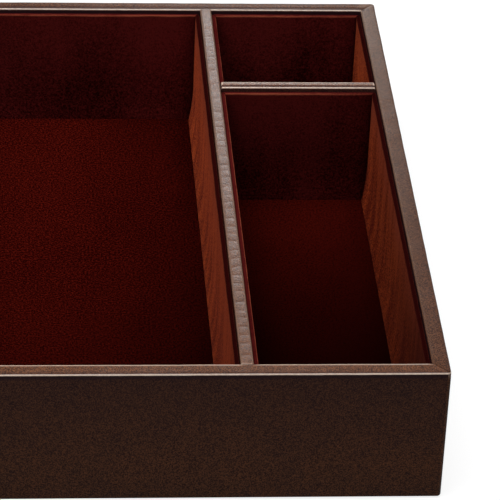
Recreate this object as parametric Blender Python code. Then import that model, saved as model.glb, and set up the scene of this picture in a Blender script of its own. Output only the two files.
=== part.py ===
"""Desk organizer tray: leather-wrapped boards with velvet-lined compartments.

Metres, +Z up. The origin is at the middle of the underside, the front wall is at -Y.
The tray mirrors itself about the plane x = 0.
"""

import math

import bmesh
import bpy

# Overall size, over the leather
TRAY_WIDTH = 0.460
TRAY_DEPTH = 0.412
TRAY_HEIGHT = 0.082

# Compartments, between leather faces
MIDDLE_WIDTH = 0.238
BACK_POCKET_DEPTH = 0.0915

# Boards
WALL_BOARD = 0.0070
DIVIDER_BOARD = 0.0048
BASE_BOARD = 0.0020

# Leather over the boards
LEATHER = 0.0009
RIM_RADIUS = 0.0015
CORNER_RADIUS = 0.0020
HEM_RADIUS = 0.0012
HEM_WIDTH = 0.016

# Velvet liners
LINER = 0.0024
LINER_FLARE = 0.0024
FLARE_HEIGHT = 0.024
LINER_DROP = 0.0042
LINER_EDGE_RADIUS = 0.0009
PAD = 0.0015
PAD_EDGE_RADIUS = 0.0005

# Sheet under the tray
SHEET = 0.0005
SHEET_INSET = 0.004
SHEET_CORNER_RADIUS = 0.003

# Gap between pieces that touch
CLEARANCE = 0.0003

# Smallest edge radius that is worth a facet, and how close points are to be one
LEAST_RADIUS = 0.0001
WELD = 0.000001

# Facets
RIM_SEGMENTS = 5
EDGE_SEGMENTS = 3
CORNER_SEGMENTS = 6
CORNER_STEPS = 4
FLARE_STEPS = 8

# Heights of the stack, from the desk up
HEM_BOTTOM = SHEET + CLEARANCE
BOARD_BOTTOM = HEM_BOTTOM + LEATHER + CLEARANCE
BASE_TOP = BOARD_BOTTOM + BASE_BOARD
STANDING = BASE_TOP + CLEARANCE
PAD_TOP = STANDING + PAD
BOARD_TOP = TRAY_HEIGHT - LEATHER - CLEARANCE
LINER_TOP = TRAY_HEIGHT - LINER_DROP

# Thickness of what is wrapped
WRAP = LEATHER + CLEARANCE
WALL = WALL_BOARD + 2 * WRAP
DIVIDER = DIVIDER_BOARD + 2 * WRAP

# Radii inside the leather and on the boards it is folded over
INNER_RADIUS = max(RIM_RADIUS - LEATHER, LEAST_RADIUS)
INNER_HEM_RADIUS = max(HEM_RADIUS - LEATHER, LEAST_RADIUS)
BOARD_EDGE_RADIUS = max(INNER_RADIUS - CLEARANCE, LEAST_RADIUS)
BOARD_CORNER_RADIUS = max(CORNER_RADIUS - WRAP, LEAST_RADIUS)

# A mitre plane stands back from the corner's diagonal by half the clearance
MITRE = CLEARANCE / math.sqrt(2)

# Inside of the walls, leather to leather
INSIDE_X = TRAY_WIDTH / 2 - WALL
INSIDE_Y = TRAY_DEPTH / 2 - WALL

# Middle planes of the dividers
DIVIDER_X = (MIDDLE_WIDTH + DIVIDER) / 2
DIVIDER_OUTER_X = DIVIDER_X + DIVIDER / 2
CROSS_BACK_Y = INSIDE_Y - BACK_POCKET_DEPTH
CROSS_Y = CROSS_BACK_Y - DIVIDER / 2
CROSS_FRONT_Y = CROSS_BACK_Y - DIVIDER

# Colour, roughness
MATERIALS = {
    "board": ((0.42, 0.30, 0.18), 0.8),
    "leather": ((0.050, 0.028, 0.021), 0.42),
    "velvet": ((0.110, 0.010, 0.007), 0.9),
    "felt": ((0.020, 0.014, 0.012), 0.95),
}

# Each side of a rectangle, by the turn that brings the front to it
SIDE_TURNS = {"front": 0.0, "right": math.pi / 2, "back": math.pi, "left": -math.pi / 2}


def clear_scene():
    """Remove what a new file starts with."""
    for thing in list(bpy.data.objects):
        bpy.data.objects.remove(thing)


def make_material(name):
    """Make the Principled material of one kind of stuff."""
    colour, roughness = MATERIALS[name]
    material = bpy.data.materials.new(name)
    material.use_nodes = True
    shader = material.node_tree.nodes["Principled BSDF"]
    shader.inputs["Base Color"].default_value = (*colour, 1.0)
    shader.inputs["Roughness"].default_value = roughness
    shader.inputs["Metallic"].default_value = 0.0
    return material


def add_object(name, bm, stuff, centre=(0.0, 0.0), turn=0.0):
    """Turn a bmesh into a named object, placed in plan by its centre and its turn."""
    bmesh.ops.recalc_face_normals(bm, faces=bm.faces[:])
    mesh = bpy.data.meshes.new(name)
    bm.to_mesh(mesh)
    bm.free()
    mesh.materials.append(make_material(stuff))
    mesh.shade_smooth()
    mesh.set_sharp_from_angle(angle=math.radians(35))
    thing = bpy.data.objects.new(name, mesh)
    thing.location = (centre[0], centre[1], 0.0)
    thing.rotation_euler = (0.0, 0.0, turn)
    bpy.context.scene.collection.objects.link(thing)
    return thing


def round_corner(bm, vertex, radius, segments):
    """Round one corner of a flat outline."""
    bmesh.ops.bevel(
        bm,
        geom=[vertex],
        offset=radius,
        offset_type="OFFSET",
        segments=segments,
        profile=0.5,
        affect="VERTICES",
        material=-1,
    )


def outline_face(bm, corners):
    """Make a face in the YZ plane.

    A corner is (y, z) or, where it is rounded, (y, z, radius, segments).
    """
    vertices = [bm.verts.new((0.0, corner[0], corner[1])) for corner in corners]
    bm.faces.new(vertices)
    for vertex, corner in zip(vertices, corners):
        if len(corner) == 4:
            round_corner(bm, vertex, corner[2], corner[3])


def sweep_both_ways(bm, sections):
    """Carry the outline along X and back to its mirror image.

    A section takes an outline point's (y, z) and gives its (x, y). The sections are listed
    from the piece's middle to its end.
    """
    places = [(-1.0, section) for section in reversed(sections)]
    places += [(1.0, section) for section in sections]
    faces = bm.faces[:]
    for step in range(1, len(places)):
        made = bmesh.ops.extrude_face_region(bm, geom=faces)["geom"]
        if step > 1:
            bmesh.ops.delete(bm, geom=faces, context="FACES_ONLY")
        faces = [item for item in made if isinstance(item, bmesh.types.BMFace)]
        ring = [item for item in made if isinstance(item, bmesh.types.BMVert)]
        bmesh.ops.translate(bm, vec=(1.0, 0.0, 0.0), verts=ring)
    for vertex in bm.verts:
        direction, section = places[round(vertex.co.x)]
        x, y = section(vertex.co.y, vertex.co.z)
        vertex.co.x = direction * x
        vertex.co.y = y
    bmesh.ops.remove_doubles(bm, verts=bm.verts[:], dist=WELD)


def mitred_sections(half_length, corner_radius):
    """Sections of a strip that meets its neighbours at a mitre.

    The outline's y is the distance inwards. What lies within the corner radius turns half
    of the corner in steps, and what lies deeper stops at the mitre.
    """

    def section(angle):
        def place(y, z):
            outer = max(corner_radius - y, 0.0)
            deeper = max(y, corner_radius)
            x = half_length - MITRE - deeper + outer * math.sin(angle)
            return x, deeper - outer * math.cos(angle)

        return place

    steps = CORNER_STEPS if corner_radius else 0
    return [section(math.pi / 4 * step / max(steps, 1)) for step in range(steps + 1)]


def mitred_strip(name, corners, stuff, half_size, side, centre=(0.0, 0.0), corner_radius=0.0):
    """Run an outline along one side of a rectangle, with mitred ends."""
    along, reach = half_size if side in ("front", "back") else half_size[::-1]
    bm = bmesh.new()
    outline_face(bm, corners)
    sweep_both_ways(bm, mitred_sections(along, corner_radius))
    bmesh.ops.translate(bm, vec=(0.0, -reach, 0.0), verts=bm.verts[:])
    return add_object(name, bm, stuff, centre, SIDE_TURNS[side])


def board(name, half_x, half_y, bottom, top, stuff, centre=(0.0, 0.0), edge=0.0, corner=0.0):
    """Make a flat board with its top edges and its upright corners rounded."""
    bm = bmesh.new()
    bmesh.ops.create_cube(bm, size=1.0)
    bmesh.ops.scale(bm, vec=(2 * half_x, 2 * half_y, top - bottom), verts=bm.verts[:])
    bmesh.ops.translate(bm, vec=(0.0, 0.0, (top + bottom) / 2), verts=bm.verts[:])
    if corner:
        uprights = [e for e in bm.edges if abs(e.verts[0].co.z - e.verts[1].co.z) > LEAST_RADIUS]
        bevel_edges(bm, uprights, corner, CORNER_SEGMENTS)
    if edge:
        rim = [e for e in bm.edges if min(v.co.z for v in e.verts) > top - LEAST_RADIUS]
        bevel_edges(bm, rim, edge, EDGE_SEGMENTS)
    return add_object(name, bm, stuff, centre)


def bevel_edges(bm, edges, radius, segments):
    """Round edges of a solid."""
    bmesh.ops.bevel(
        bm,
        geom=edges,
        offset=radius,
        offset_type="OFFSET",
        segments=segments,
        profile=0.5,
        affect="EDGES",
        material=-1,
    )


def coped_section(half_length):
    """Section of a divider's cover at its end, where it follows the rounded rim that it meets."""

    def place(y, z):
        rise = max(z - (TRAY_HEIGHT - RIM_RADIUS), 0.0)
        reach = RIM_RADIUS + CLEARANCE
        return half_length + reach - math.sqrt(reach * reach - rise * rise), y

    return place


def wall_cover_outline():
    """Leather from under the tray, up the outside, over the rim and down the inside."""
    return [
        (HEM_WIDTH, HEM_BOTTOM),
        (0.0, HEM_BOTTOM, HEM_RADIUS, RIM_SEGMENTS),
        (0.0, TRAY_HEIGHT, RIM_RADIUS, RIM_SEGMENTS),
        (WALL, TRAY_HEIGHT, RIM_RADIUS, RIM_SEGMENTS),
        (WALL, STANDING),
        (WALL - LEATHER, STANDING),
        (WALL - LEATHER, TRAY_HEIGHT - LEATHER, INNER_RADIUS, EDGE_SEGMENTS),
        (LEATHER, TRAY_HEIGHT - LEATHER, INNER_RADIUS, EDGE_SEGMENTS),
        (LEATHER, HEM_BOTTOM + LEATHER, INNER_HEM_RADIUS, EDGE_SEGMENTS),
        (HEM_WIDTH, HEM_BOTTOM + LEATHER),
    ]


def divider_cover_outline():
    """Leather up one side of a divider, over its top and down the other side."""
    half = DIVIDER / 2
    inner = half - LEATHER
    return [
        (-half, STANDING),
        (-half, TRAY_HEIGHT, RIM_RADIUS, RIM_SEGMENTS),
        (half, TRAY_HEIGHT, RIM_RADIUS, RIM_SEGMENTS),
        (half, STANDING),
        (inner, STANDING),
        (inner, TRAY_HEIGHT - LEATHER, INNER_RADIUS, EDGE_SEGMENTS),
        (-inner, TRAY_HEIGHT - LEATHER, INNER_RADIUS, EDGE_SEGMENTS),
        (-inner, STANDING),
    ]


def liner_outline():
    """Velvet-covered card: an even thickness above, a foot that curves out to the floor pad."""
    flare = []
    for step in range(FLARE_STEPS + 1):
        share = step / FLARE_STEPS
        flare.append((LINER + LINER_FLARE * (1.0 - share) ** 2, PAD_TOP + FLARE_HEIGHT * share))
    return [
        (0.0, LINER_TOP, LINER_EDGE_RADIUS, EDGE_SEGMENTS),
        (0.0, STANDING),
        (LINER + LINER_FLARE, STANDING),
        *flare,
        (LINER, LINER_TOP, LINER_EDGE_RADIUS, EDGE_SEGMENTS),
    ]


def build_base():
    """The base board lies between the wall boards, and the sheet covers the underside."""
    inset = WRAP + WALL_BOARD + CLEARANCE
    board(
        "base_board",
        TRAY_WIDTH / 2 - inset,
        TRAY_DEPTH / 2 - inset,
        BOARD_BOTTOM,
        BASE_TOP,
        "board",
    )
    board(
        "underside_sheet",
        TRAY_WIDTH / 2 - SHEET_INSET,
        TRAY_DEPTH / 2 - SHEET_INSET,
        0.0,
        SHEET,
        "felt",
        corner=SHEET_CORNER_RADIUS,
    )


def build_walls():
    """Front and back boards run the full width, the side boards stand between them."""
    along_x = TRAY_WIDTH / 2 - WRAP
    along_y = TRAY_DEPTH / 2 - WRAP - WALL_BOARD - CLEARANCE
    middle_x = TRAY_WIDTH / 2 - WALL / 2
    middle_y = TRAY_DEPTH / 2 - WALL / 2
    half = WALL_BOARD / 2
    plans = {
        "front": (along_x, half, (0.0, -middle_y)),
        "back": (along_x, half, (0.0, middle_y)),
        "left": (half, along_y, (-middle_x, 0.0)),
        "right": (half, along_y, (middle_x, 0.0)),
    }
    for side, (half_x, half_y, centre) in plans.items():
        board(
            f"{side}_wall_board",
            half_x,
            half_y,
            BOARD_BOTTOM,
            BOARD_TOP,
            "board",
            centre,
            edge=BOARD_EDGE_RADIUS,
            corner=BOARD_CORNER_RADIUS if side in ("front", "back") else 0.0,
        )
        mitred_strip(
            f"{side}_wall_cover",
            wall_cover_outline(),
            "leather",
            (TRAY_WIDTH / 2, TRAY_DEPTH / 2),
            side,
            corner_radius=CORNER_RADIUS,
        )


def build_divider(name, centre, half_length, turn):
    """A board that stands on the base board, with leather folded over it."""
    half_x, half_y = half_length, DIVIDER_BOARD / 2
    if turn:
        half_x, half_y = half_y, half_x
    board(
        f"{name}_board",
        half_x,
        half_y,
        STANDING,
        BOARD_TOP,
        "board",
        centre,
        edge=BOARD_EDGE_RADIUS,
    )
    bm = bmesh.new()
    outline_face(bm, divider_cover_outline())
    sweep_both_ways(bm, [coped_section(half_length)])
    bmesh.ops.triangulate(bm, faces=[face for face in bm.faces if len(face.verts) > 4])
    add_object(f"{name}_cover", bm, "leather", centre, turn)


def build_dividers():
    """Two long dividers between front and back, and a cross divider at each side."""
    long_half = INSIDE_Y - CLEARANCE
    cross_half = (INSIDE_X - DIVIDER_OUTER_X) / 2 - CLEARANCE
    cross_x = (INSIDE_X + DIVIDER_OUTER_X) / 2
    for side, sign in (("left", -1.0), ("right", 1.0)):
        build_divider(f"{side}_divider", (sign * DIVIDER_X, 0.0), long_half, math.pi / 2)
        build_divider(f"{side}_cross", (sign * cross_x, CROSS_Y), cross_half, 0.0)


def line_pocket(name, low, high):
    """Line one compartment, given by its corners between leather faces."""
    centre = ((low[0] + high[0]) / 2, (low[1] + high[1]) / 2)
    half_x = (high[0] - low[0]) / 2 - CLEARANCE
    half_y = (high[1] - low[1]) / 2 - CLEARANCE
    for side in SIDE_TURNS:
        mitred_strip(
            f"{name}_{side}_liner",
            liner_outline(),
            "velvet",
            (half_x, half_y),
            side,
            centre,
        )
    foot = LINER + LINER_FLARE + CLEARANCE
    board(
        f"{name}_floor_pad",
        half_x - foot,
        half_y - foot,
        STANDING,
        PAD_TOP,
        "velvet",
        centre,
        edge=PAD_EDGE_RADIUS,
    )


def build_liners():
    """Line the middle compartment, and the back and front ones at each side."""
    half = MIDDLE_WIDTH / 2
    line_pocket("middle", (-half, -INSIDE_Y), (half, INSIDE_Y))
    for side, low_x, high_x in (
        ("left", -INSIDE_X, -DIVIDER_OUTER_X),
        ("right", DIVIDER_OUTER_X, INSIDE_X),
    ):
        line_pocket(f"{side}_back", (low_x, CROSS_BACK_Y), (high_x, INSIDE_Y))
        line_pocket(f"{side}_front", (low_x, -INSIDE_Y), (high_x, CROSS_FRONT_Y))


def main():
    """Build the tray."""
    clear_scene()
    build_base()
    build_walls()
    build_dividers()
    build_liners()


main()
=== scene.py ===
"""Desk organizer tray: the leather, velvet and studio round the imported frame."""

import math

import bmesh
import bpy
from bpy.props import FloatProperty, FloatVectorProperty, PointerProperty
from bpy.types import Operator, Panel, PropertyGroup
from mathutils import Matrix, Vector, noise


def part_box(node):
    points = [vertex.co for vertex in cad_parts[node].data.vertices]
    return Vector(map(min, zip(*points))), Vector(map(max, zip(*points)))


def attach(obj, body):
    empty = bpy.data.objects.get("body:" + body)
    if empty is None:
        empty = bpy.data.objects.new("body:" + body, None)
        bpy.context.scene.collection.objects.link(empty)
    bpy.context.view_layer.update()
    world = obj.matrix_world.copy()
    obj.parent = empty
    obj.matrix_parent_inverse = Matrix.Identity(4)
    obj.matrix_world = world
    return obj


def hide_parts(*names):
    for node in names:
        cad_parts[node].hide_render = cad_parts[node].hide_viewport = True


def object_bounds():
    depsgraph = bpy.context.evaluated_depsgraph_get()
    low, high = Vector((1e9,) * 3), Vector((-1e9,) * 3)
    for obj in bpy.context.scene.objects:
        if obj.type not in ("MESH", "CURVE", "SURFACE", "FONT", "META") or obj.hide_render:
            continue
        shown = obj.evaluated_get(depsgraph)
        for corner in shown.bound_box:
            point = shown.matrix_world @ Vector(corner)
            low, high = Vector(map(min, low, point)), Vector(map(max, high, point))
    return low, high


bl_info = {
    "name": "Desk Organizer Tray",
    "version": (1, 0, 0),
    "blender": (4, 5, 0),
    "location": "View3D > Sidebar > Tray",
    "description": "Wraps, lines and lights a desk organizer tray",
    "category": "Object",
}

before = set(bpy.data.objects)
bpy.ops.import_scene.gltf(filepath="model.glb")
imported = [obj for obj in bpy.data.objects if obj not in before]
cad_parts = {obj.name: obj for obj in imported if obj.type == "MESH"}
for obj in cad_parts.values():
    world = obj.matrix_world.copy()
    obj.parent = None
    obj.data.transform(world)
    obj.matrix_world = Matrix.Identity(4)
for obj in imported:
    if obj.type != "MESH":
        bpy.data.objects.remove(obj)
TRAY_LOW, TRAY_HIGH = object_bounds()
SIDES = {"front": 0.0, "right": math.pi / 2, "back": math.pi, "left": -math.pi / 2}
POCKETS = ("middle", "left_back", "left_front", "right_back", "right_front")
DIVIDERS = ("left_divider", "right_divider", "left_cross", "right_cross")
# How much painted light or shade each part's leather gets, as a lighter or darker copy of the same
# colours, and its specular level.
PAINTED_LIGHT_AND_SHINE = {
    "front_wall": (1.03, 0.045),
    "back_wall": (0.95, 0.03),
    "left_wall": (0.78, 0.045),
    "right_wall": (0.78, 0.045),
    "left_divider": (1.0, 0.125),
    "right_divider": (1.0, 0.125),
    "left_cross": (1.3, 0.13),
    "right_cross": (1.3, 0.13),
}
BOARDS = [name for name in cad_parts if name.endswith("_board")]

WHITE = (1.0, 1.0, 1.0, 1.0)
UP = Vector((0.0, 0.0, 1.0))

# Places closer together than this count as one. Lengths are in metres throughout.
WELD = 0.00001
# An edge bent by more than FOLD_ANGLE is a fold, and one over SHARP_ANGLE is shaded sharp,
# both in radians.
FOLD_ANGLE = 1.0
SHARP_ANGLE = math.radians(50)
# A surface is turned one way when its normal's part that way is over this.
TURNED = 0.1

# Depths below the top: all of the leather's rim, its level top, and the shadow under its bead.
RIM_ZONE = 0.003
RIM_TOP = 0.001
BEAD_SHADOW = 0.0028
# Depths that still count as level: of a new rim, a finished one, and a divider's top.
LEVEL_NEW = 0.0001
LEVEL_DONE = 0.0003
LEVEL_DIVIDER = 0.0004
# How near to a line on a rim a place belongs to it, where painted shade and a groove go and where a
# painted highlight goes.
GROOVE_SHADE_WIDTH = 0.0002
HIGHLIGHT_LINE_WIDTH = 0.0001

# Where extra rows of vertices go: along the walls and down them, between the edges of a wall's
# rim, behind a mitre, across and along a divider, up a liner from its floor, along a liner and
# over a pad.
RIM_CUTS = 110
WALL_ROWS = (0.0026, 0.0042, 0.012, 0.03, 0.06)
RIM_STEPS = 4
MITRE_ROWS = (0.0004, 0.0010, 0.0018)
DIVIDER_ROWS = (-0.0009, 0.0, 0.0009, 0.0018)
DIVIDER_STEP = 0.0008
FLARE_STEPS = 10
LINER_ROWS = (0.032, 0.042, 0.052, 0.062)
LINER_STEP = 0.003
PAD_STEP = 0.005

# How far a cross divider's seam lies behind its front edge, and the notch at each of its ends.
SEAM_BEHIND = 0.0006
NOTCH_WIDTH = 0.0006
NOTCH_DEPTH = 0.0008
# How far a divider's board ends short of the walls, and the room round the rims that it meets.
END_GAP = 0.0003
END_ROOM = 0.00006
# How far apart the wrinkles are, how they bend to the sides and how far each one wanders.
WRINKLE_PITCH = 0.0085
WRINKLE_BEND = 70.0
WRINKLE_WANDER = 0.004
# A pad's velvet stands out this far at its sides, and has this radius and ripple.
PAD_SWELL = 0.0003
PAD_RADIUS = 0.0005
PAD_RIPPLE = 0.0002
# Radius of the upright corners of the sheet under the tray.
SHEET_CORNER = 0.003

# How far in a liner's ends get painted shade, how far down a sheen-lit one gets painted light, and
# how far in a pad gets painted shade from its sides and from its front.
DARK_END = 0.014
LIT_DEPTH = 0.025
DARK_SIDE = 0.08
DARK_FRONT = 0.24

# How much painted shade darkens the leather's creases, grooves, rims and faces, from 0 to 1, and
# the most painted shade on which the edges still get wear and painted highlight.
LEATHER_SHADE = {
    "front_rim": 0.35,
    "back_rim": 0.7,
    "side_rim": 0.16,
    "behind_bead": 0.4,
    "under_bead": 0.85,
    "outer_face_top": 0.53,
    "outer_face_foot": 0.22,
    "inner_face": 0.9,
    "divider_side": 0.75,
    "cross_edge": 0.5,
    "cross_seam": 0.9,
    "cross_notch": 0.7,
}
HIGHLIGHT_SHADE_LIMIT = 0.3
# How much painted shade darkens the velvet at a liner's ends and top and at a pad's sides and
# front, from 0 to 1.
SHADE = {"liner_end": 0.55, "top": 0.1, "sheen_lit_top": 0.8, "pad_side": 0.45, "pad_front": 0.7}
# How strongly wear and painted highlight pale the leather's edges, from 0 to 1.
WEAR_AND_HIGHLIGHT = {
    "front_rim": 0.7,
    "front_rim_line": 0.6,
    "back_rim": 0.1,
    "side_rim": 0.07,
    "side_rim_top": 0.09,
    "cross": 0.9,
    "divider": 0.08,
}
# How much the painted shade on a face lessens over a metre down it, and how much the painted
# highlight on a side rim grows over a metre back.
FACE_FADE = 5.0
RIM_FADE = 0.25

# The tilts in degrees between which an edge gets wear and painted highlight, over how many degrees
# that fades, and for edges that face the front how strong their painted highlight is.
FAINT_BAND = (3.0, 72.0)
BAND_FADE = 8.0
FRONT_BEAD = (40.0, 90.0, 1.0)
BACK_BEAD = (18.0, 66.0, 0.6)
DIVIDER_BEAD = (30.0, 72.0, 0.8)

# Scales of the patterns, from leather to board, and of the wander of the leather's edges.
PORE_SCALE = 1300.0
GRAIN_SCALE = 1750.0
PATCH_SCALE = 60.0
WEAR_SCALE = 500.0
PILE_SCALE = 880.0
HAIR_SCALE = 900.0
FLAKE_SCALE = 400.0
WAVE_SCALE = 90.0

WAX_SHINE = 0.9
FELT_COLOURS = ((0.012, 0.008, 0.007), (0.034, 0.024, 0.021))
BOARD_COLOURS = ((0.045, 0.032, 0.024), (0.10, 0.075, 0.055))
# The sockets of a Mix node that mixes colours.
MIX_FACTOR, MIX_FIRST, MIX_SECOND, MIX_RESULT = 0, 6, 7, 2

# The lens is as long as 3231 pixels of a picture 500 pixels wide.
LENS_IN_PIXELS = 3231
PICTURE_WIDTH = 500
SENSOR_WIDTH = 36.0
FLOOR_REACH = 4.0
BACKDROP_RADIUS = 1.0


class LeatherSettings(PropertyGroup):
    """What the leather of the walls and dividers is like."""

    thickness: FloatProperty(
        name="Thickness",
        description="Thickness of the leather",
        default=0.0009,
        unit="LENGTH",
    )
    rim_radius: FloatProperty(
        name="Rim radius",
        description="Radius of the long edges along the top of a wall or divider",
        default=0.0012,
        unit="LENGTH",
    )
    corner_radius: FloatProperty(
        name="Corner radius",
        description="Radius of the tray's four upright outer corners",
        default=0.0020,
        unit="LENGTH",
    )
    groove: FloatProperty(
        name="Groove",
        description="Depth of the groove behind the folded edges that face the front",
        default=0.0004,
        unit="LENGTH",
    )
    hem_radius: FloatProperty(
        name="Hem radius",
        description="Radius of the fold at the foot of the walls",
        default=0.0012,
        unit="LENGTH",
    )
    hem_width: FloatProperty(
        name="Hem width",
        description="How far the leather is turned under the tray",
        default=0.016,
        unit="LENGTH",
    )
    waviness: FloatProperty(
        name="Waviness",
        description="How far the folded edges wander from a straight line",
        default=0.0001,
        unit="LENGTH",
    )
    wrinkle_depth: FloatProperty(
        name="Wrinkle depth",
        description="Depth of the wrinkles across the long dividers",
        default=0.0001,
        unit="LENGTH",
    )
    dark: FloatVectorProperty(
        name="Dark brown",
        description="Colour in the hollows of the grain",
        default=(0.027, 0.0090, 0.0052),
        subtype="COLOR",
    )
    light: FloatVectorProperty(
        name="Light brown",
        description="Colour on top of the grain",
        default=(0.225, 0.083, 0.033),
        subtype="COLOR",
    )
    # Partly wear and mostly painted highlight: the colour that the leather's rounded edges are
    # paled towards.
    rubbed_and_lit: FloatVectorProperty(
        name="Rubbed edge",
        description="Colour where the leather is rubbed",
        default=(0.92, 0.69, 0.55),
        subtype="COLOR",
    )
    # Painted shade: the colour that creases, grooves, seams, the walls' faces and the side rims are
    # darkened towards.
    shade_colour: FloatVectorProperty(
        name="Crease",
        description="Colour in creases and seams",
        default=(0.018, 0.0066, 0.0112),
        subtype="COLOR",
    )


class VelvetSettings(PropertyGroup):
    """What the velvet liners and floor pads are like."""

    card: FloatProperty(
        name="Card",
        description="Thickness of a velvet-covered liner",
        default=0.0024,
        unit="LENGTH",
    )
    flare: FloatProperty(
        name="Flare",
        description="How far the velvet curves out at a liner's foot",
        default=0.0024,
        unit="LENGTH",
    )
    flare_height: FloatProperty(
        name="Flare height",
        description="Height above the floor pad at which the velvet starts to curve out",
        default=0.024,
        unit="LENGTH",
    )
    edge_radius: FloatProperty(
        name="Edge radius",
        description="Radius of a liner's top edges",
        default=0.0009,
        unit="LENGTH",
    )
    ripple: FloatProperty(
        name="Ripple",
        description="How far the velvet stands off its card in places",
        default=0.00025,
        unit="LENGTH",
    )
    proud: FloatProperty(
        name="Proud",
        description="How far the velvet stands above its card",
        default=0.0014,
        unit="LENGTH",
    )
    # The dark end of the velvet's mix, reached in darker streaks and where the painted light is
    # least, low on the liners.
    deep: FloatVectorProperty(
        name="Deep red",
        description="Colour of the velvet where the pile stands towards the eye",
        default=(0.012, 0.0005, 0.0004),
        subtype="COLOR",
    )
    bright: FloatVectorProperty(
        name="Bright red",
        description="Colour of the floor pads and of the darker streaks in the brushed liners",
        default=(0.105, 0.0070, 0.0034),
        subtype="COLOR",
    )
    # The light end of the plain liners' mix, reached in lighter streaks and under the painted light
    # towards their top.
    cool: FloatVectorProperty(
        name="Cool red",
        description="Colour of the plain liners where the pile is brushed down",
        default=(0.106, 0.0103, 0.0098),
        subtype="COLOR",
    )
    # Painted sheen: a lighter orange copy of the velvet colour for the liners that face left.
    sheen_lit: FloatVectorProperty(
        name="Brushed red",
        description="Colour of the liners whose pile is brushed towards the light",
        default=(0.70, 0.112, 0.024),
        subtype="COLOR",
    )
    # Painted highlight: the colour of the lit fold along a liner's top, and of the painted light on
    # a sheen-lit liner's face.
    velvet_highlight: FloatVectorProperty(
        name="Worn red",
        description="Colour of the velvet along the folded top edges",
        default=(0.24, 0.052, 0.028),
        subtype="COLOR",
    )
    hidden: FloatVectorProperty(
        name="Hidden",
        description="Colour of the velvet in shade and in the gap between liner and wall",
        default=(0.0035, 0.0003, 0.0003),
        subtype="COLOR",
    )


class StageSettings(PropertyGroup):
    """Where the camera is and how it looks, and how strong the lamps and the room light are."""

    place: FloatVectorProperty(
        name="Camera",
        description="Place of the camera",
        default=(-0.0112, -1.5947, 1.0409),
        subtype="TRANSLATION",
        unit="LENGTH",
    )
    pitch: FloatProperty(
        name="Pitch",
        description="How far the camera looks down",
        default=math.radians(32.31),
        subtype="ANGLE",
    )
    yaw: FloatProperty(
        name="Yaw",
        description="How far the camera is turned to the right",
        default=math.radians(5.4),
        subtype="ANGLE",
    )
    roll: FloatProperty(
        name="Roll",
        description="How far the camera is tilted",
        default=math.radians(2.84),
        subtype="ANGLE",
    )
    lens: FloatProperty(
        name="Lens",
        description="Focal length in millimetres on a 36 mm sensor",
        default=LENS_IN_PIXELS * SENSOR_WIDTH / PICTURE_WIDTH,
    )
    key: FloatProperty(
        name="Overhead lamp",
        description="Power of the soft lamp over the tray",
        default=21.0,
        unit="POWER",
    )
    back: FloatProperty(
        name="Back lamp",
        description="Power of the soft lamp behind the tray",
        default=5.0,
        unit="POWER",
    )
    air: FloatProperty(
        name="Room light",
        description="Strength of the light from all round",
        default=0.08,
    )


def new_material(name):
    """Make a material and give its nodes, links and shader."""
    material = bpy.data.materials.new(name)
    material.use_nodes = True
    nodes = material.node_tree.nodes
    return material, nodes, material.node_tree.links, nodes["Principled BSDF"]


def set_sockets(shader, values):
    """Set some of a shader's own sockets."""
    for socket, value in values.items():
        shader.inputs[socket].default_value = value


def coordinates(nodes, links, scale=(1.0, 1.0, 1.0)):
    """Object coordinates, stretched."""
    place = nodes.new("ShaderNodeTexCoord")
    stretch = nodes.new("ShaderNodeMapping")
    stretch.inputs["Scale"].default_value = scale
    links.new(place.outputs["Object"], stretch.inputs["Vector"])
    return stretch.outputs["Vector"]


def cloud(nodes, links, vector, scale, detail, roughness):
    """A noise pattern."""
    node = nodes.new("ShaderNodeTexNoise")
    set_sockets(node, {"Scale": scale, "Detail": detail, "Roughness": roughness})
    links.new(vector, node.inputs["Vector"])
    return node.outputs["Fac"]


def level(nodes, links, value, old, new):
    """Carry a value from one range to another."""
    node = nodes.new("ShaderNodeMapRange")
    names = ("From Min", "From Max", "To Min", "To Max")
    set_sockets(node, dict(zip(names, (*old, *new))))
    links.new(value, node.inputs["Value"])
    return node.outputs["Result"]


def blend_colours(nodes, links, amount, first, second):
    """Mix two colours, each a value or a link, by an amount."""
    node = nodes.new("ShaderNodeMix")
    node.data_type = "RGBA"
    for socket, colour in ((MIX_FIRST, first), (MIX_SECOND, second)):
        if isinstance(colour, bpy.types.NodeSocket):
            links.new(colour, node.inputs[socket])
        else:
            node.inputs[socket].default_value = (*colour, 1.0)
    links.new(amount, node.inputs[MIX_FACTOR])
    return node.outputs[MIX_RESULT]


def combine(nodes, links, kind, first, second):
    """A sum, product or the like of two values, each a number or a link."""
    node = nodes.new("ShaderNodeMath")
    node.operation = kind
    for socket, value in enumerate((first, second)):
        if isinstance(value, bpy.types.NodeSocket):
            links.new(value, node.inputs[socket])
        else:
            node.inputs[socket].default_value = value
    return node.outputs[0]


def painted(nodes, name):
    """A value painted on the vertices."""
    node = nodes.new("ShaderNodeAttribute")
    node.attribute_name = name
    return node.outputs["Fac"]


def bump(nodes, links, height, distance, strength):
    """Raise a pattern on a surface."""
    node = nodes.new("ShaderNodeBump")
    set_sockets(node, {"Distance": distance, "Strength": strength})
    links.new(height, node.inputs["Height"])
    return node.outputs["Normal"]


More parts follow.
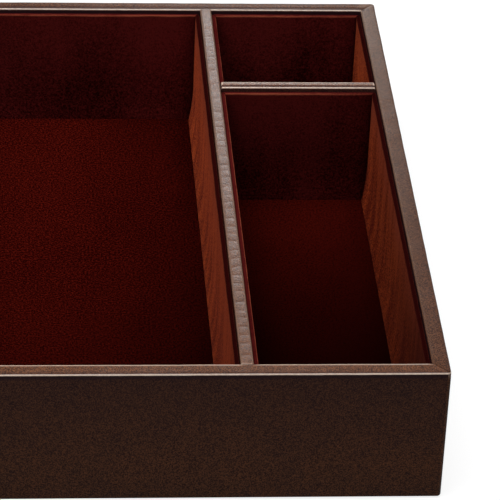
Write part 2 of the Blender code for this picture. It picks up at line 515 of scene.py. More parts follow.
def leather_material(name, painted_light, shine, rough):
    """Fine-grain leather, paler under wear and painted highlight, and darker under painted shade.
    """
    leather = bpy.context.scene.tray_leather
    material, nodes, links, shader = new_material(name)
    vector = coordinates(nodes, links)
    pores = nodes.new("ShaderNodeTexVoronoi")
    pores.feature = "DISTANCE_TO_EDGE"
    pores.inputs["Scale"].default_value = PORE_SCALE
    links.new(vector, pores.inputs["Vector"])
    hollows = level(nodes, links, pores.outputs["Distance"], (0.0, 0.25), (0.0, 1.0))
    grain = cloud(nodes, links, vector, GRAIN_SCALE, detail=2.0, roughness=0.6)
    patches = cloud(nodes, links, vector, PATCH_SCALE, detail=5.0, roughness=0.65)
    shade = level(nodes, links, grain, (0.32, 0.68), (-0.27, 0.92))
    for part in (
        level(nodes, links, patches, (0.3, 0.7), (-0.02, 0.10)),
        level(nodes, links, hollows, (0.0, 1.0), (-0.12, 0.12)),
    ):
        shade = combine(nodes, links, "ADD", shade, part)
    dark = [painted_light * part for part in leather.dark]
    light = [painted_light * part for part in leather.light]
    colour = blend_colours(nodes, links, shade, dark, light)
    wear = cloud(nodes, links, vector, WEAR_SCALE, detail=4.0, roughness=0.7)
    uneven = level(nodes, links, wear, (0.3, 0.65), (0.65, 1.0))
    # Wear and painted highlight on the edges, then painted shade.
    rubbed_and_lit = combine(nodes, links, "MULTIPLY", painted(nodes, "wear_and_highlight"), uneven)
    colour = blend_colours(nodes, links, rubbed_and_lit, colour, leather.rubbed_and_lit)
    colour = blend_colours(nodes, links, painted(nodes, "painted_shade"), colour, leather.shade_colour)
    links.new(colour, shader.inputs["Base Color"])
    shader.inputs["Specular IOR Level"].default_value = shine
    dullness = level(nodes, links, patches, (0.3, 0.7), (rough - 0.03, rough + 0.03))
    links.new(dullness, shader.inputs["Roughness"])
    height = combine(nodes, links, "ADD", hollows, grain)
    normal = bump(nodes, links, height, distance=0.00015, strength=0.15)
    links.new(normal, shader.inputs["Normal"])
    return material


def leather_materials(part):
    """The leather's face, and the waxed finish of the edges that face the front."""
    # The first number is painted light or shade: a lighter or darker copy of one leather for each
    # part.
    painted_light, shine = PAINTED_LIGHT_AND_SHINE[part]
    return (
        leather_material(f"{part} leather", painted_light, shine, rough=0.25),
        leather_material(f"{part} leather edge", painted_light, WAX_SHINE, rough=0.28),
    )


def velvet_material(name, colours, *, sheen, front, stretch, size, middle, patchy, grain):
    """Velvet, with painted light growing towards the top and painted shade towards the front.

    front is the share of its colour that is left at the front of the tray, the rest painted shade;
    under 0 it is gone before that. size and stretch shape the streaks in the pile, middle and
    patchy say how light and how strong they are, and grain says how strongly single tufts show.
    """
    velvet = bpy.context.scene.tray_velvet
    deep, bright = colours
    material, nodes, links, shader = new_material(name)
    vector = coordinates(nodes, links)
    place = nodes.new("ShaderNodeSeparateXYZ")
    links.new(vector, place.inputs["Vector"])
    stretched = coordinates(nodes, links, stretch)
    streaks = cloud(nodes, links, stretched, size, detail=6.0, roughness=0.6)
    pile = cloud(nodes, links, vector, PILE_SCALE, detail=4.0, roughness=0.8)
    shade = level(nodes, links, streaks, (0.3, 0.7), (middle - patchy, middle + patchy))
    # Streaks and tufts, and painted light growing from 2 cm up to the top.
    for part in (
        level(nodes, links, pile, (0.35, 0.65), (-grain, grain)),
        level(nodes, links, place.outputs["Z"], (0.02, TRAY_HIGH.z), (0.0, 0.6)),
    ):
        shade = combine(nodes, links, "ADD", shade, part)
    colour = blend_colours(nodes, links, shade, deep, bright)
    # Painted shade towards the front of the tray.
    back = level(nodes, links, place.outputs["Y"], (TRAY_LOW.y, TRAY_HIGH.y), (front, 1.0))
    colour = blend_colours(nodes, links, back, velvet.hidden, colour)
    # Painted highlight where the vertices are marked, then painted shade.
    velvet_highlight = painted(nodes, "wear_and_highlight")
    for part in (
        level(nodes, links, pile, (0.3, 0.7), (0.6, 1.2)),
        level(nodes, links, streaks, (0.35, 0.65), (0.3, 1.5)),
    ):
        velvet_highlight = combine(nodes, links, "MULTIPLY", velvet_highlight, part)
    colour = blend_colours(nodes, links, velvet_highlight, colour, velvet.velvet_highlight)
    colour = blend_colours(nodes, links, painted(nodes, "painted_shade"), colour, velvet.hidden)
    links.new(colour, shader.inputs["Base Color"])
    finish = {
        "Roughness": 0.9,
        "Specular IOR Level": 0.0,
        "Sheen Weight": sheen,
        "Sheen Roughness": 0.3,
        "Sheen Tint": (1.0, 0.19, 0.13, 1.0),
    }
    set_sockets(shader, finish)
    normal = bump(nodes, links, pile, distance=0.0006, strength=0.6)
    links.new(normal, shader.inputs["Normal"])
    return material


def felt_material():
    """Dark felt under the tray."""
    material, nodes, links, shader = new_material("tray felt")
    vector = coordinates(nodes, links)
    hairs = cloud(nodes, links, vector, HAIR_SCALE, detail=5.0, roughness=0.75)
    links.new(blend_colours(nodes, links, hairs, *FELT_COLOURS), shader.inputs["Base Color"])
    set_sockets(shader, {"Roughness": 0.95, "Sheen Weight": 0.2})
    normal = bump(nodes, links, hairs, distance=0.0004, strength=0.6)
    links.new(normal, shader.inputs["Normal"])
    return material


def board_material():
    """Pressed fibre board, as inside the walls and the base."""
    material, nodes, links, shader = new_material("tray board")
    layered = coordinates(nodes, links, (1.0, 1.0, 4.0))
    flakes = cloud(nodes, links, layered, FLAKE_SCALE, detail=5.0, roughness=0.7)
    links.new(blend_colours(nodes, links, flakes, *BOARD_COLOURS), shader.inputs["Base Color"])
    links.new(level(nodes, links, flakes, (0.3, 0.7), (0.7, 0.9)), shader.inputs["Roughness"])
    normal = bump(nodes, links, flakes, distance=0.0003, strength=0.5)
    links.new(normal, shader.inputs["Normal"])
    return material


def add_piece(name, bm, materials, node):
    """Turn a finished bmesh into a piece that stands for one of the frame's nodes."""
    bmesh.ops.recalc_face_normals(bm, faces=bm.faces[:])
    mesh = bpy.data.meshes.new(name)
    bm.to_mesh(mesh)
    bm.free()
    for material in materials:
        mesh.materials.append(material)
    mesh.shade_smooth()
    mesh.set_sharp_from_angle(angle=SHARP_ANGLE)
    piece = bpy.data.objects.new(name, mesh)
    bpy.context.scene.collection.objects.link(piece)
    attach(piece, "root")
    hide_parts(node)
    return piece


def within(value):
    """The value, kept between 0 and 1."""
    return min(max(value, 0.0), 1.0)


def block(low, high):
    """A bmesh box between two corners."""
    bm = bmesh.new()
    bmesh.ops.create_cube(bm, size=1.0)
    bmesh.ops.scale(bm, vec=high - low, verts=bm.verts[:])
    bmesh.ops.translate(bm, vec=(high + low) / 2, verts=bm.verts[:])
    return bm


def round_edges(bm, edges, radius, segments):
    """Give edges a radius, with a number of flats round it."""
    bmesh.ops.bevel(
        bm,
        geom=edges,
        offset=radius,
        offset_type="OFFSET",
        segments=segments,
        profile=0.5,
        affect="EDGES",
        material=-1,
    )


def inset(bm, face, width):
    """Set a face in from its outline."""
    bmesh.ops.inset_region(
        bm, faces=[face], thickness=width, use_boundary=True, use_even_offset=True
    )


def widest_face(bm, height):
    """The largest face at a height."""
    level_faces = [f for f in bm.faces if abs(f.calc_center_median().z - height) < WELD]
    return max(level_faces, key=lambda f: f.calc_area())


def edges_along(bm, axis, length):
    """The edges that reach further than a length along an axis."""
    return [e for e in bm.edges if abs(e.verts[0].co[axis] - e.verts[1].co[axis]) > length]


def lies_at(edge, height):
    """Whether an edge lies level at a height."""
    return all(abs(vertex.co.z - height) < WELD for vertex in edge.verts)


def folds(bm, height):
    """The sharp edges at a height."""
    return [
        e
        for e in bm.edges
        if len(e.link_faces) == 2 and e.calc_face_angle() > FOLD_ANGLE and lies_at(e, height)
    ]


def divide(bm, edges, cuts):
    """Divide edges, and the faces between them, with a number of cuts."""
    bmesh.ops.subdivide_edges(bm, edges=edges, cuts=cuts, use_grid_fill=True)


def score(bm, point, normal, clear=False):
    """Draw a line of vertices round a bmesh, and clear what is beyond it if asked to."""
    return bmesh.ops.bisect_plane(
        bm,
        geom=bm.verts[:] + bm.edges[:] + bm.faces[:],
        dist=0.0000001,
        plane_co=point,
        plane_no=normal,
        clear_outer=clear,
    )["geom_cut"]


def cut_off(bm, point, normal):
    """Cut off what is beyond a plane, and close the cut."""
    made = score(bm, point, normal, clear=True)
    edges = [item for item in made if isinstance(item, bmesh.types.BMEdge)]
    caps = bmesh.ops.edgeloop_fill(bm, edges=edges)["faces"]
    bmesh.ops.triangulate(bm, faces=caps)


def turn_round(bm, angle):
    """Turn a bmesh about the upright axis."""
    bmesh.ops.rotate(bm, matrix=Matrix.Rotation(angle, 3, "Z"), verts=bm.verts[:])


def put_in_place(bm, angle, centre):
    """Turn a bmesh about the upright axis and move it in plan."""
    turn_round(bm, angle)
    bmesh.ops.translate(bm, vec=(centre.x, centre.y, 0.0), verts=bm.verts[:])


def seen_from(side, half):
    """Half the length and half the depth of a rectangle, as they are seen from one side."""
    return (half.y, half.x) if side in ("left", "right") else (half.x, half.y)


def mitre(bm, half_x, half_y, gap, press):
    """Mitre both ends of a strip along the front of a rectangle, and press it thin there."""
    for sign in (-1.0, 1.0):
        normal = Vector((sign, 1.0, 0.0)).normalized()
        point = Vector((sign * half_x, -half_y, 0.0)) - normal * gap / 2
        cut_off(bm, point, normal)
        for back in MITRE_ROWS:
            score(bm, point - normal * back, normal)
        bm.normal_update()
        for vertex in bm.verts:
            depth = (point - vertex.co).dot(normal)
            if depth < MITRE_ROWS[-1]:
                vertex.co -= vertex.normal * press * (1.0 - depth / MITRE_ROWS[-1]) ** 2


def ripple(bm, vertices, amount, scale):
    """Let a surface wander a little along its normals."""
    bm.normal_update()
    for vertex in vertices:
        vertex.co += vertex.normal * amount * (noise.noise(vertex.co * scale) - 0.5)


def layer(bm, name):
    """A painted layer of a bmesh."""
    return bm.verts.layers.float.get(name) or bm.verts.layers.float.new(name)


def press_and_shade(bm, chosen, depth, strength):
    """Press the chosen vertices down a little, and paint shade on them."""
    painted_shade = layer(bm, "painted_shade")
    for vertex in bm.verts:
        if chosen(vertex.co):
            vertex[painted_shade] = strength
            vertex.co.z -= depth


def thicken(bm, top):
    """Let the leather's edges wander a little, and give it its thickness."""
    leather = bpy.context.scene.tray_leather
    rim = [v for v in bm.verts if v.co.z > top - RIM_ZONE]
    ripple(bm, rim, leather.waviness, WAVE_SCALE)
    bmesh.ops.solidify(bm, geom=bm.faces[:], thickness=leather.thickness)


def finish_edges(bm, top, faint, bead):
    """Paint the rounded edges along the top pale, as some wear and mostly as painted highlight,
    strongest on those that face the front.

    For a place on an edge that faces the front, bead gives the tilts in degrees between which its
    painted highlight lies, and how strong it is. For a place on another edge, faint gives how
    strong.
    """
    wear_and_highlight, painted_shade = layer(bm, "wear_and_highlight"), layer(bm, "painted_shade")
    bm.normal_update()
    for vertex in bm.verts:
        normal = vertex.normal
        if vertex.co.z < top - RIM_ZONE or normal.z < -TURNED or vertex[painted_shade] > HIGHLIGHT_SHADE_LIMIT:
            continue
        front = normal.y < -TURNED
        start, end, strength = bead(vertex.co) if front else (*FAINT_BAND, faint(vertex.co))
        tilt = math.degrees(math.acos(min(normal.z, 1.0)))
        vertex[wear_and_highlight] = within(min(tilt - start, end - tilt) / BAND_FADE) * strength
        # Painted shade just behind a front edge's painted highlight.
        if front and tilt < start:
            vertex[painted_shade] = LEATHER_SHADE["behind_bead"]
    for face in bm.faces:
        near_top = face.calc_center_median().z > top - RIM_ZONE
        if near_top and face.normal.y < -0.5 and face.normal.z > TURNED:
            face.material_index = 1


def wall_thickness():
    """A wall's thickness over its leather: the board, and the gap at both its sides."""
    low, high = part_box("front_wall_board")
    return high.y - low.y + 2 * (low.y - TRAY_LOW.y)


def folded_ring(wall, top):
    """The leather of the four walls as one folded surface, with no thickness yet."""
    leather = bpy.context.scene.tray_leather
    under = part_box("front_wall_cover")[0].z
    inner_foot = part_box("right_divider_board")[0].z
    bm = block(Vector((TRAY_LOW.x, TRAY_LOW.y, under)), TRAY_HIGH)
    round_edges(bm, edges_along(bm, 2, WELD), leather.corner_radius, 8)
    for height in (under, top):
        inset(bm, widest_face(bm, height), leather.corner_radius)
        outline = list(widest_face(bm, height).verts)
        bmesh.ops.remove_doubles(bm, verts=outline, dist=0.0002)
    inset(bm, widest_face(bm, under), leather.hem_width - leather.corner_radius)
    for depth in WALL_ROWS:
        score(bm, Vector((0.0, 0.0, top - depth)), UP)
    step = (wall - 2 * leather.corner_radius) / RIM_STEPS
    for _ in range(RIM_STEPS):
        inset(bm, widest_face(bm, top), step)
    inset(bm, widest_face(bm, top), leather.corner_radius)
    inside = bmesh.ops.extrude_discrete_faces(bm, faces=[widest_face(bm, top)])["faces"]
    bmesh.ops.translate(bm, vec=(0.0, 0.0, inner_foot - top), verts=inside[0].verts[:])
    openings = [inside[0], widest_face(bm, under)]
    bmesh.ops.delete(bm, geom=openings, context="FACES_ONLY")
    round_edges(bm, folds(bm, top), leather.rim_radius, 8)
    round_edges(bm, folds(bm, under), leather.hem_radius, 5)
    for axis in (0, 1):
        divide(bm, edges_along(bm, axis, TRAY_HIGH.y), RIM_CUTS)
    return bm


def crease_walls(bm, inner, wall, top):
    """Press the grooves behind the walls' folded edges, and paint shade along those edges, on the
    side rims and on the walls' faces.
    """
    leather = bpy.context.scene.tray_leather

    def behind_edge(at):
        if at.z < top - LEVEL_NEW or abs(at.x) > TRAY_HIGH.x - leather.rim_radius:
            return 1.0
        return min(at.y - TRAY_LOW.y, at.y - inner.y, key=abs)

    def in_shade(at):
        inside = abs(at.x) < inner.x + WELD and abs(at.y) < inner.y + WELD
        return inside and at.z < top - leather.rim_radius + WELD

    # Painted shade on lines behind the rims' edges; at the back, the line behind the corner radius
    # is also pressed into a groove.
    halves = ((-1.0, 0.0, LEATHER_SHADE["front_rim"]), (1.0, leather.groove, LEATHER_SHADE["back_rim"]))
    for half, groove, strength in halves:
        for behind, depth in ((leather.rim_radius, 0.0), (leather.corner_radius, groove)):
            press_and_shade(
                bm,
                lambda at: at.y * half > 0.0 and abs(behind_edge(at) - behind) < GROOVE_SHADE_WIDTH,
                depth,
                strength,
            )
    # Painted shade on the inner faces below the rims.
    press_and_shade(bm, in_shade, 0.0, LEATHER_SHADE["inner_face"])
    painted_shade = layer(bm, "painted_shade")
    # Painted shade growing towards the outside of the side rims, and on the outer faces: darkest
    # right under the bead, lessening further down.
    for vertex in bm.verts:
        at, depth = vertex.co, top - vertex.co.z
        outward = (abs(at.x) - inner.x) / wall
        if depth < RIM_TOP and outward > 0.1 and abs(at.y) < inner.y + wall / 2:
            vertex[painted_shade] = max(vertex[painted_shade], LEATHER_SHADE["side_rim"] * outward)
        if max(abs(at.x) - TRAY_HIGH.x, abs(at.y) - TRAY_HIGH.y) > -WELD and depth > RIM_TOP:
            faded = LEATHER_SHADE["outer_face_top"] - depth * FACE_FADE
            face = max(faded, LEATHER_SHADE["outer_face_foot"])
            vertex[painted_shade] = LEATHER_SHADE["under_bead"] if depth < BEAD_SHADOW else face


def wall_ring():
    """The leather of the four walls in one piece, before it is cut at the mitres."""
    leather = bpy.context.scene.tray_leather
    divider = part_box("right_divider_cover")
    wall, top = wall_thickness(), TRAY_HIGH.z
    inner = TRAY_HIGH - Vector((wall, wall, 0.0))

    # Wear and painted highlight on an edge that does not face the front: a painted highlight line
    # on the front wall's inner edge, none where a divider meets it, faint on the back rim, and on
    # the inner half of the side rims a painted highlight growing towards the back.
    def faint_wear_and_highlight(at):
        if abs(at.x) > inner.x - WELD:
            inside = abs(at.x) < inner.x + wall / 2
            return WEAR_AND_HIGHLIGHT["side_rim"] + RIM_FADE * at.y if inside else 0.0
        if at.y > 0.0:
            return WEAR_AND_HIGHLIGHT["back_rim"]
        return 0.0 if divider[0].x < abs(at.x) < divider[1].x else WEAR_AND_HIGHLIGHT["front_rim"]

    bm = folded_ring(wall, top)
    crease_walls(bm, inner, wall, top)
    thicken(bm, top)
    finish_edges(bm, top, faint_wear_and_highlight, lambda at: FRONT_BEAD if at.y < 0.0 else BACK_BEAD)
    # A painted highlight line along the front rim's inner edge, and painted highlight on the side
    # rims' tops growing towards the back.
    wear_and_highlight = layer(bm, "wear_and_highlight")
    for vertex in bm.verts:
        at = vertex.co
        if at.z < top - LEVEL_DONE:
            continue
        if abs(at.y + inner.y + leather.rim_radius) < HIGHLIGHT_LINE_WIDTH:
            vertex[wear_and_highlight] = WEAR_AND_HIGHLIGHT["front_rim_line"] * faint_wear_and_highlight(at)
        elif abs(at.x) > inner.x:
            back = (at.y - TRAY_LOW.y) / (TRAY_HIGH.y - TRAY_LOW.y)
            vertex[wear_and_highlight] = max(vertex[wear_and_highlight], WEAR_AND_HIGHLIGHT["side_rim_top"] * back**3)
    return bm


class TRAY_OT_wrap_walls(Operator):
    """Wrap the four walls in leather that is mitred at the corners"""

    bl_idname = "tray.wrap_walls"
    bl_label = "Wrap the Walls"

    def execute(self, context):
        ring = wall_ring()
        for side, turn in SIDES.items():
            half_x, half_y = seen_from(side, TRAY_HIGH)
            bm = ring.copy()
            turn_round(bm, -turn)
            mitre(bm, half_x, half_y, gap=0.0001, press=0.00012)
            turn_round(bm, turn)
            wall = f"{side}_wall"
            add_piece(f"{wall}_leather", bm, leather_materials(wall), f"{wall}_cover")
        ring.free()
        return {"FINISHED"}


def wrinkles(bm, top, depth):
    """Press curved, slightly uneven wrinkles across the top of a long divider."""
    for vertex in bm.verts:
        if vertex.co.z < top - RIM_ZONE:
            continue
        along, across = vertex.co.x, vertex.co.y
        bend = WRINKLE_BEND * across**2
        bend += WRINKLE_WANDER * noise.noise(Vector((along * 60.0, across * 60.0, 0.0)))
        wave = abs(math.sin(math.pi * (along + bend) / WRINKLE_PITCH))
        fold = max(0.0, 1.0 - wave * 3.0)
        swell = 0.75 + 0.5 * noise.noise(Vector((along * 45.0, 9.0, across * 200.0)))
        vertex.co.z -= depth * (fold + 0.5 * (1.0 - wave)) * swell


def fit_ends(bm, half, top):
    """Shape the ends of a divider's leather to the rounded rims that they meet."""
    radius = bpy.context.scene.tray_leather.rim_radius
    for vertex in bm.verts:
        if half - abs(vertex.co.x) < WELD:
            rise = min(max(vertex.co.z - (top - radius), 0.0), radius)
            reach = math.sqrt((radius + END_ROOM) ** 2 - rise**2)
            meet = max(END_GAP + radius - reach, 0.0)
            vertex.co.x += math.copysign(meet, vertex.co.x)


def divider_cover(name):
    """Leather folded over one divider, its ends shaped to the rims that it meets."""
    leather = bpy.context.scene.tray_leather
    low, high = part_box(f"{name}_cover")
    board_low, board_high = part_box(f"{name}_board")
    cross = "cross" in name
    along, turn = (0, 0.0) if cross else (1, math.pi / 2)
    half = (board_high[along] - board_low[along]) / 2
    width = high[1 - along] - low[1 - along]
    top = high.z
    bm = block(Vector((-half, -width / 2, low.z)), Vector((half, width / 2, top)))
    gone = [f for f in bm.faces if f.normal.z < -0.5 or abs(f.normal.x) > 0.5]
    bmesh.ops.delete(bm, geom=gone, context="FACES_ONLY")
    round_edges(bm, folds(bm, top), leather.rim_radius, 8)
    for across in (leather.rim_radius + SEAM_BEHIND - width / 2, *DIVIDER_ROWS):
        score(bm, Vector((0.0, across, 0.0)), Vector((0.0, 1.0, 0.0)))
    divide(bm, edges_along(bm, 0, half), int(2 * half / DIVIDER_STEP))

    def on_line(at, behind):
        line = leather.rim_radius + behind - width / 2
        return at.z > top - LEVEL_DIVIDER and abs(at.y - line) < WELD

    def on_side(at):
        return at.z < top - leather.rim_radius + WELD

    def at_end(at):
        return half - abs(at.x) < NOTCH_WIDTH

    # Painted shade on the divider's sides, on a cross divider's front edge line and in its seam
    # groove and end notches.
    press_and_shade(bm, on_side, 0.0, LEATHER_SHADE["divider_side"])
    if cross:
        press_and_shade(bm, lambda at: on_line(at, 0.0), 0.0, LEATHER_SHADE["cross_edge"])
        press_and_shade(bm, lambda at: on_line(at, SEAM_BEHIND), leather.groove, LEATHER_SHADE["cross_seam"])
        press_and_shade(bm, at_end, NOTCH_DEPTH, LEATHER_SHADE["cross_notch"])
    else:
        wrinkles(bm, top, leather.wrinkle_depth)
    thicken(bm, top)
    fit_ends(bm, half, top)
    put_in_place(bm, turn, (board_low + board_high) / 2)
    # Wear and painted highlight on the divider's edges that do not face the front.
    rubbed_and_lit = WEAR_AND_HIGHLIGHT["cross" if cross else "divider"]
    finish_edges(bm, top, lambda at: rubbed_and_lit, lambda at: DIVIDER_BEAD)
    return bm


class TRAY_OT_wrap_dividers(Operator):
    """Fold leather over the two long dividers and the two cross dividers"""

    bl_idname = "tray.wrap_dividers"
    bl_label = "Wrap the Dividers"

    def execute(self, context):
        for name in DIVIDERS:
            leather = leather_materials(name)
            add_piece(f"{name}_leather", divider_cover(name), leather, f"{name}_cover")
        return {"FINISHED"}


def pocket_box(name):
    """Lowest and highest corner of a compartment's lining."""
    boxes = [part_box(f"{name}_{side}_liner") for side in SIDES]
    low = Vector(min(b[0][axis] for b in boxes) for axis in range(3))
    high = Vector(max(b[1][axis] for b in boxes) for axis in range(3))
    return low, high


def waves(at, seed, across, up):
    """A noise value for a place on a liner, with so many waves a metre across it and up it."""
    return noise.noise(Vector((at.x * across, seed, at.z * up)))


def liner(half_x, half_y, low_z, high_z, floor, seed):
    """A velvet-covered card along the front of a compartment, its foot curving out."""
    velvet = bpy.context.scene.tray_velvet
    face = velvet.card - half_y
    bm = block(Vector((-half_x, -half_y, low_z)), Vector((half_x, face, high_z)))
    heights = [floor + velvet.flare_height * step / FLARE_STEPS for step in range(FLARE_STEPS + 1)]
    heights += [floor + height for height in LINER_ROWS]
    heights += [high_z - depth * velvet.edge_radius for depth in (2.0, 1.5)]
    for height in heights:
        score(bm, Vector((0.0, 0.0, height)), UP)
    top_edges = [e for e in edges_along(bm, 0, WELD) if lies_at(e, high_z)]
    round_edges(bm, top_edges, velvet.edge_radius, 5)
    divide(bm, edges_along(bm, 0, half_x), int(2 * half_x / LINER_STEP))
    for vertex in bm.verts:
        at = vertex.co
        if at.y > face - WELD:
            share = within((floor + velvet.flare_height - at.z) / velvet.flare_height)
            at.y += velvet.flare * share**2
            uneven = waves(at, seed, 70.0, 18.0) + 0.35 * waves(at, seed, 260.0, 60.0)
            at.y += velvet.ripple * uneven * (1 - share)
        elif at.z > high_z - velvet.edge_radius and at.y > -half_y + WELD:
            at.z += velvet.ripple * 0.5 * waves(at, seed, 150.0, 0.0)
    return bm


def mark_liner(bm, top, half_x, half_y, sheen_lit):
    """Paint a highlight along a liner's folded top edge, light painted shade on the rest of its
    top, and painted shade at its ends.

    A sheen-lit liner gets strong painted shade along its top instead, and painted light on its face
    just below it.
    """
    radius = bpy.context.scene.tray_velvet.edge_radius
    top_zone, level_top, fold_line = 1.05 * radius, 0.15 * radius, 1.5 * radius
    wear_and_highlight, painted_shade = layer(bm, "wear_and_highlight"), layer(bm, "painted_shade")
    for vertex in bm.verts:
        # Painted shade towards the liner's ends.
        end = min((half_x - abs(vertex.co.x)) / DARK_END, 1.0)
        vertex[painted_shade] = SHADE["liner_end"] * (1.0 - end) ** 2
        depth, behind = top - vertex.co.z, vertex.co.y + half_y
        # Along the top: a painted highlight on the front fold, painted shade on the rest.
        if depth < top_zone:
            fold = behind > fold_line and depth > level_top and not sheen_lit
            shade = SHADE["sheen_lit_top" if sheen_lit else "top"]
            vertex[wear_and_highlight], vertex[painted_shade] = (1.0, 0.0) if fold else (0.0, shade)
        elif sheen_lit:
            # Painted light on a sheen-lit liner's face below its top, growing towards the back.
            lit = max(1.0 - depth / LIT_DEPTH, 0.0)
            vertex[wear_and_highlight] = 0.4 * lit * (1.3 + vertex.co.x / half_x)
    for face in bm.faces:
        if sheen_lit and all(top - vertex.co.z < top_zone for vertex in face.verts):
            face.material_index = 1


def sheen_lit_velvet(name, sheen, front, middle):
    """A lighter orange copy of the velvet, in long upright streaks, which paints the sheen on the
    liners that face left.
    """
    lining = bpy.context.scene.tray_velvet
    return velvet_material(
        name,
        (lining.bright, lining.sheen_lit),
        sheen=sheen,
        front=front,
        stretch=(1.0, 1.0, 0.15),
        size=80.0,
        middle=middle,
        patchy=0.46,
        grain=0.9,
    )


def line_pocket(pocket, seed, plain, sheen_lit):
    """Line the four walls of a compartment, the right one with a lighter copy of the velvet that
    paints its sheen.
    """
    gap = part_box("right_divider_cover")[0].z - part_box("base_board")[1].z
    low, high = pocket_box(pocket)
    high.z += bpy.context.scene.tray_velvet.proud
    centre, half = (low + high) / 2, (high - low) / 2
    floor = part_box(f"{pocket}_floor_pad")[1].z
    for side, turn in SIDES.items():
        # The right liner's face gets the painted sheen copy, and its top the plain velvet.
        velvet = [sheen_lit, plain] if side == "right" else [plain]
        half_x, half_y = seen_from(side, half)
        bm = liner(half_x, half_y, low.z, high.z, floor, seed + turn)
        mark_liner(bm, high.z, half_x, half_y, side == "right")
        mitre(bm, half_x, half_y, gap, press=0.0002)
        put_in_place(bm, turn, centre)
        add_piece(f"{pocket}_{side}_velvet", bm, velvet, f"{pocket}_{side}_liner")


class TRAY_OT_line_pockets(Operator):
    """Line the walls of the five compartments with velvet-covered card"""

    bl_idname = "tray.line_pockets"
    bl_label = "Line the Compartments"

    def execute(self, context):
        lining = context.scene.tray_velvet
        plain = velvet_material(
            "liner velvet",
            (lining.deep, lining.cool),
            sheen=0.17,
            front=0.6,
            stretch=(1.0, 1.0, 0.4),
            size=13.0,
            middle=0.34,
            patchy=0.4,
            grain=0.55,
        )
        # front sets the painted shade towards the front of the tray.
        wide = sheen_lit_velvet("wide brushed velvet", sheen=0.14, front=0.35, middle=0.4)
        narrow = sheen_lit_velvet("narrow brushed velvet", sheen=0.07, front=-0.05, middle=0.15)
        for number, pocket in enumerate(POCKETS):
            line_pocket(pocket, number * 4.7, plain, wide if pocket == "middle" else narrow)
        return {"FINISHED"}


def floor_velvet(name, front, size, middle, patchy):
    """The velvet of a floor pad, its streaks running from front to back."""
    lining = bpy.context.scene.tray_velvet
    return velvet_material(
        name,
        (lining.deep, lining.bright),
        sheen=0.0,
        front=front,
        stretch=(1.0, 0.5, 1.0),
        size=size,
        middle=middle,
        patchy=patchy,
        grain=1.05,
    )


def floor_pad(low, high):
    """A thin pad with a soft edge, with painted shade along its sides and towards its front."""
    swell = Vector((PAD_SWELL, PAD_SWELL, 0.0))
    bm = block(low - swell, high + swell)
    round_edges(bm, [e for e in bm.edges if lies_at(e, high.z)], PAD_RADIUS, 4)
    size = high - low
    for axis in (0, 1):
        divide(bm, edges_along(bm, axis, size[axis] / 2), int(size[axis] / PAD_STEP))
    ripple(bm, [v for v in bm.verts if v.co.z > high.z - WELD], PAD_RIPPLE, WAVE_SCALE / 2)
    painted_shade = layer(bm, "painted_shade")
    # Painted shade along the pad's sides, reaching further in from its right side, and towards its
    # front.
    for vertex in bm.verts:
        edge = min(high.x - vertex.co.x, 2.0 * (vertex.co.x - low.x))
        side = max(1.0 - edge / DARK_SIDE, 0.0)
        front = max(1.0 - (vertex.co.y - low.y) / DARK_FRONT, 0.0)
        vertex[painted_shade] = min(SHADE["pad_side"] * side + SHADE["pad_front"] * front, 1.0)
    return bm


class TRAY_OT_lay_pads(Operator):
    """Lay a velvet-covered pad on the floor of each compartment"""

    bl_idname = "tray.lay_pads"
    bl_label = "Lay the Floor Pads"

    def execute(self, context):
        # front sets the painted shade towards the front: some on the wide pad, and on the narrow
        # pads it reaches the colour in shade before the front.
        wide = floor_velvet("wide floor velvet", front=0.75, size=12.0, middle=0.29, patchy=0.16)
        narrow = floor_velvet("narrow floor velvet", front=-0.2, size=14.0, middle=0.78, patchy=0.3)
        for pocket in POCKETS:
            bm = floor_pad(*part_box(f"{pocket}_floor_pad"))
            velvet = wide if pocket == "middle" else narrow
            pad = add_piece(f"{pocket}_pad_velvet", bm, [velvet], f"{pocket}_floor_pad")
        return {"FINISHED"}


class TRAY_OT_cover_underside(Operator):
    """Cover the underside with felt, and finish the boards inside the leather"""

    bl_idname = "tray.cover_underside"
    bl_label = "Cover the Underside"

    def execute(self, context):
        low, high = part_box("underside_sheet")
        bm = block(low, high)
        round_edges(bm, edges_along(bm, 2, WELD), SHEET_CORNER, 6)
        sheet = add_piece("underside_felt", bm, [felt_material()], "underside_sheet")
        board = board_material()
        for name in BOARDS:
            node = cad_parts[name]
            node.data.materials.clear()
            node.data.materials.append(board)
        return {"FINISHED"}


def seen_ray(nodes, links):
    """1 for a ray that is looked along, straight or by reflection or glass, and 0 for others."""
    path = nodes.new("ShaderNodeLightPath")
    seen = path.outputs["Is Camera Ray"]
    for kind in ("Is Glossy Ray", "Is Transmission Ray"):
        seen = combine(nodes, links, "MAXIMUM", seen, path.outputs[kind])
    return seen


def stage_material():
    """White paper: plain to the eye and in reflections, pale grey for the light it throws."""
    material, nodes, links, shader = new_material("studio paper")
    finish = {
        "Base Color": (0.28, 0.28, 0.28, 1.0),
        "Roughness": 0.9,
        "Specular IOR Level": 0.0,
        "Emission Color": WHITE,
    }
    set_sockets(shader, finish)
    glow = combine(nodes, links, "MULTIPLY", seen_ray(nodes, links), 0.85)
    links.new(glow, shader.inputs["Emission Strength"])
    return material


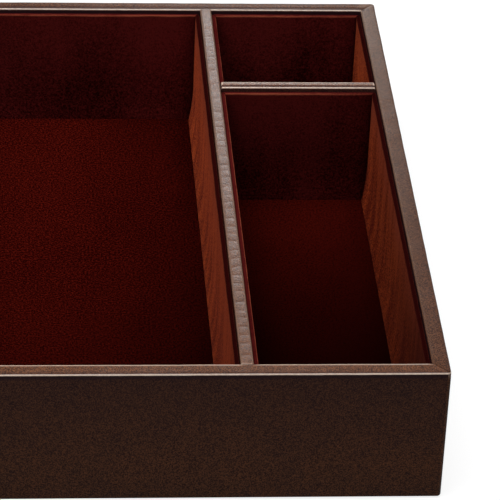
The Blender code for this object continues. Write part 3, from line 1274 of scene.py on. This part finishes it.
def add_backdrop():
    """A floor that curves up into a backdrop behind the tray."""
    bm = bmesh.new()
    bmesh.ops.create_grid(bm, x_segments=1, y_segments=1, size=FLOOR_REACH)
    back = [e for e in bm.edges if all(v.co.y > FLOOR_REACH - WELD for v in e.verts)]
    bmesh.ops.spin(
        bm,
        geom=back,
        cent=(0.0, FLOOR_REACH, BACKDROP_RADIUS),
        axis=(1.0, 0.0, 0.0),
        angle=math.pi / 2,
        steps=16,
        use_merge=True,
    )
    bmesh.ops.recalc_face_normals(bm, faces=bm.faces[:])
    mesh = bpy.data.meshes.new("studio_paper")
    bm.to_mesh(mesh)
    bm.free()
    mesh.materials.append(stage_material())
    mesh.shade_smooth()
    paper = bpy.data.objects.new("studio_paper", mesh)
    bpy.context.scene.collection.objects.link(paper)


def add_lamp(name, place, aim, size, power):
    """A soft lamp that points at a spot."""
    data = bpy.data.lights.new(name, "AREA")
    data.shape = "RECTANGLE"
    data.size, data.size_y = size
    data.energy = power
    lamp = bpy.data.objects.new(name, data)
    lamp.location = place
    direction = Vector(aim) - Vector(place)
    lamp.rotation_euler = direction.to_track_quat("-Z", "Y").to_euler()
    lamp.visible_camera = False
    bpy.context.scene.collection.objects.link(lamp)


def add_camera(stage):
    """A long lens that looks down at the tray's right-hand half."""
    yaw, pitch, roll = stage.yaw, stage.pitch, stage.roll
    level_reach = math.cos(pitch)
    forward = Vector((math.sin(yaw) * level_reach, math.cos(yaw) * level_reach, -math.sin(pitch)))
    right = Vector((math.cos(yaw), -math.sin(yaw), 0.0))
    up = right.cross(forward)
    turned_right = right * math.cos(roll) + up * math.sin(roll)
    turned_up = up * math.cos(roll) - right * math.sin(roll)
    data = bpy.data.cameras.new("camera")
    data.lens = stage.lens
    data.sensor_width = SENSOR_WIDTH
    data.clip_start, data.clip_end = 0.05, 50.0
    camera = bpy.data.objects.new("camera", data)
    axes = Matrix((turned_right, turned_up, -forward)).transposed().to_4x4()
    camera.matrix_world = Matrix.Translation(stage.place) @ axes
    bpy.context.scene.collection.objects.link(camera)
    bpy.context.scene.camera = camera


def light_room(stage):
    """Even light from all round, white to the eye."""
    world = bpy.data.worlds.new("studio")
    world.use_nodes = True
    nodes, links = world.node_tree.nodes, world.node_tree.links
    sky = nodes["Background"]
    sky.inputs["Color"].default_value = WHITE
    strength = level(nodes, links, seen_ray(nodes, links), (0.0, 1.0), (stage.air, 1.0))
    links.new(strength, sky.inputs["Strength"])
    bpy.context.scene.world = world


class TRAY_OT_set_stage(Operator):
    """Set up the floor, backdrop, lamps and camera"""

    bl_idname = "tray.set_stage"
    bl_label = "Set the Stage"

    def execute(self, context):
        stage = context.scene.tray_stage
        add_backdrop()
        add_lamp(
            "overhead_lamp",
            place=(-0.15, -0.2, 1.3),
            aim=(-0.15, -0.1, 0.0),
            size=(1.2, 1.2),
            power=stage.key,
        )
        add_lamp(
            "back_lamp",
            place=(0.30, 2.0, 0.97),
            aim=(0.0, 0.0, 0.05),
            size=(0.3, 0.2),
            power=stage.back,
        )
        add_camera(stage)
        light_room(stage)
        context.scene.view_settings.view_transform = "Standard"
        return {"FINISHED"}


STEPS = (
    TRAY_OT_wrap_walls,
    TRAY_OT_wrap_dividers,
    TRAY_OT_line_pockets,
    TRAY_OT_lay_pads,
    TRAY_OT_cover_underside,
    TRAY_OT_set_stage,
)


class TRAY_PT_sidebar(Panel):
    """The tray's settings and steps in the sidebar"""

    bl_label = "Desk Organizer Tray"
    bl_space_type = "VIEW_3D"
    bl_region_type = "UI"
    bl_category = "Tray"

    def draw(self, context):
        for settings in ("tray_leather", "tray_velvet", "tray_stage"):
            group = getattr(context.scene, settings)
            column = self.layout.column(align=True)
            for name in group.__annotations__:
                column.prop(group, name)
        for step in STEPS:
            self.layout.operator(step.bl_idname)


SETTINGS = {
    "tray_leather": LeatherSettings,
    "tray_velvet": VelvetSettings,
    "tray_stage": StageSettings,
}


def register():
    """Add the tray's classes and settings to Blender."""
    for name, group in SETTINGS.items():
        bpy.utils.register_class(group)
        setattr(bpy.types.Scene, name, PointerProperty(type=group))
    for step in (*STEPS, TRAY_PT_sidebar):
        bpy.utils.register_class(step)


def unregister():
    """Take them out again."""
    for step in (TRAY_PT_sidebar, *reversed(STEPS)):
        bpy.utils.unregister_class(step)
    for name, group in SETTINGS.items():
        delattr(bpy.types.Scene, name)
        bpy.utils.unregister_class(group)


def main():
    """Make every piece and the stage."""
    register()
    bpy.ops.tray.wrap_walls()
    bpy.ops.tray.wrap_dividers()
    bpy.ops.tray.line_pockets()
    bpy.ops.tray.lay_pads()
    bpy.ops.tray.cover_underside()
    bpy.ops.tray.set_stage()


if __name__ == "__main__":
    main()
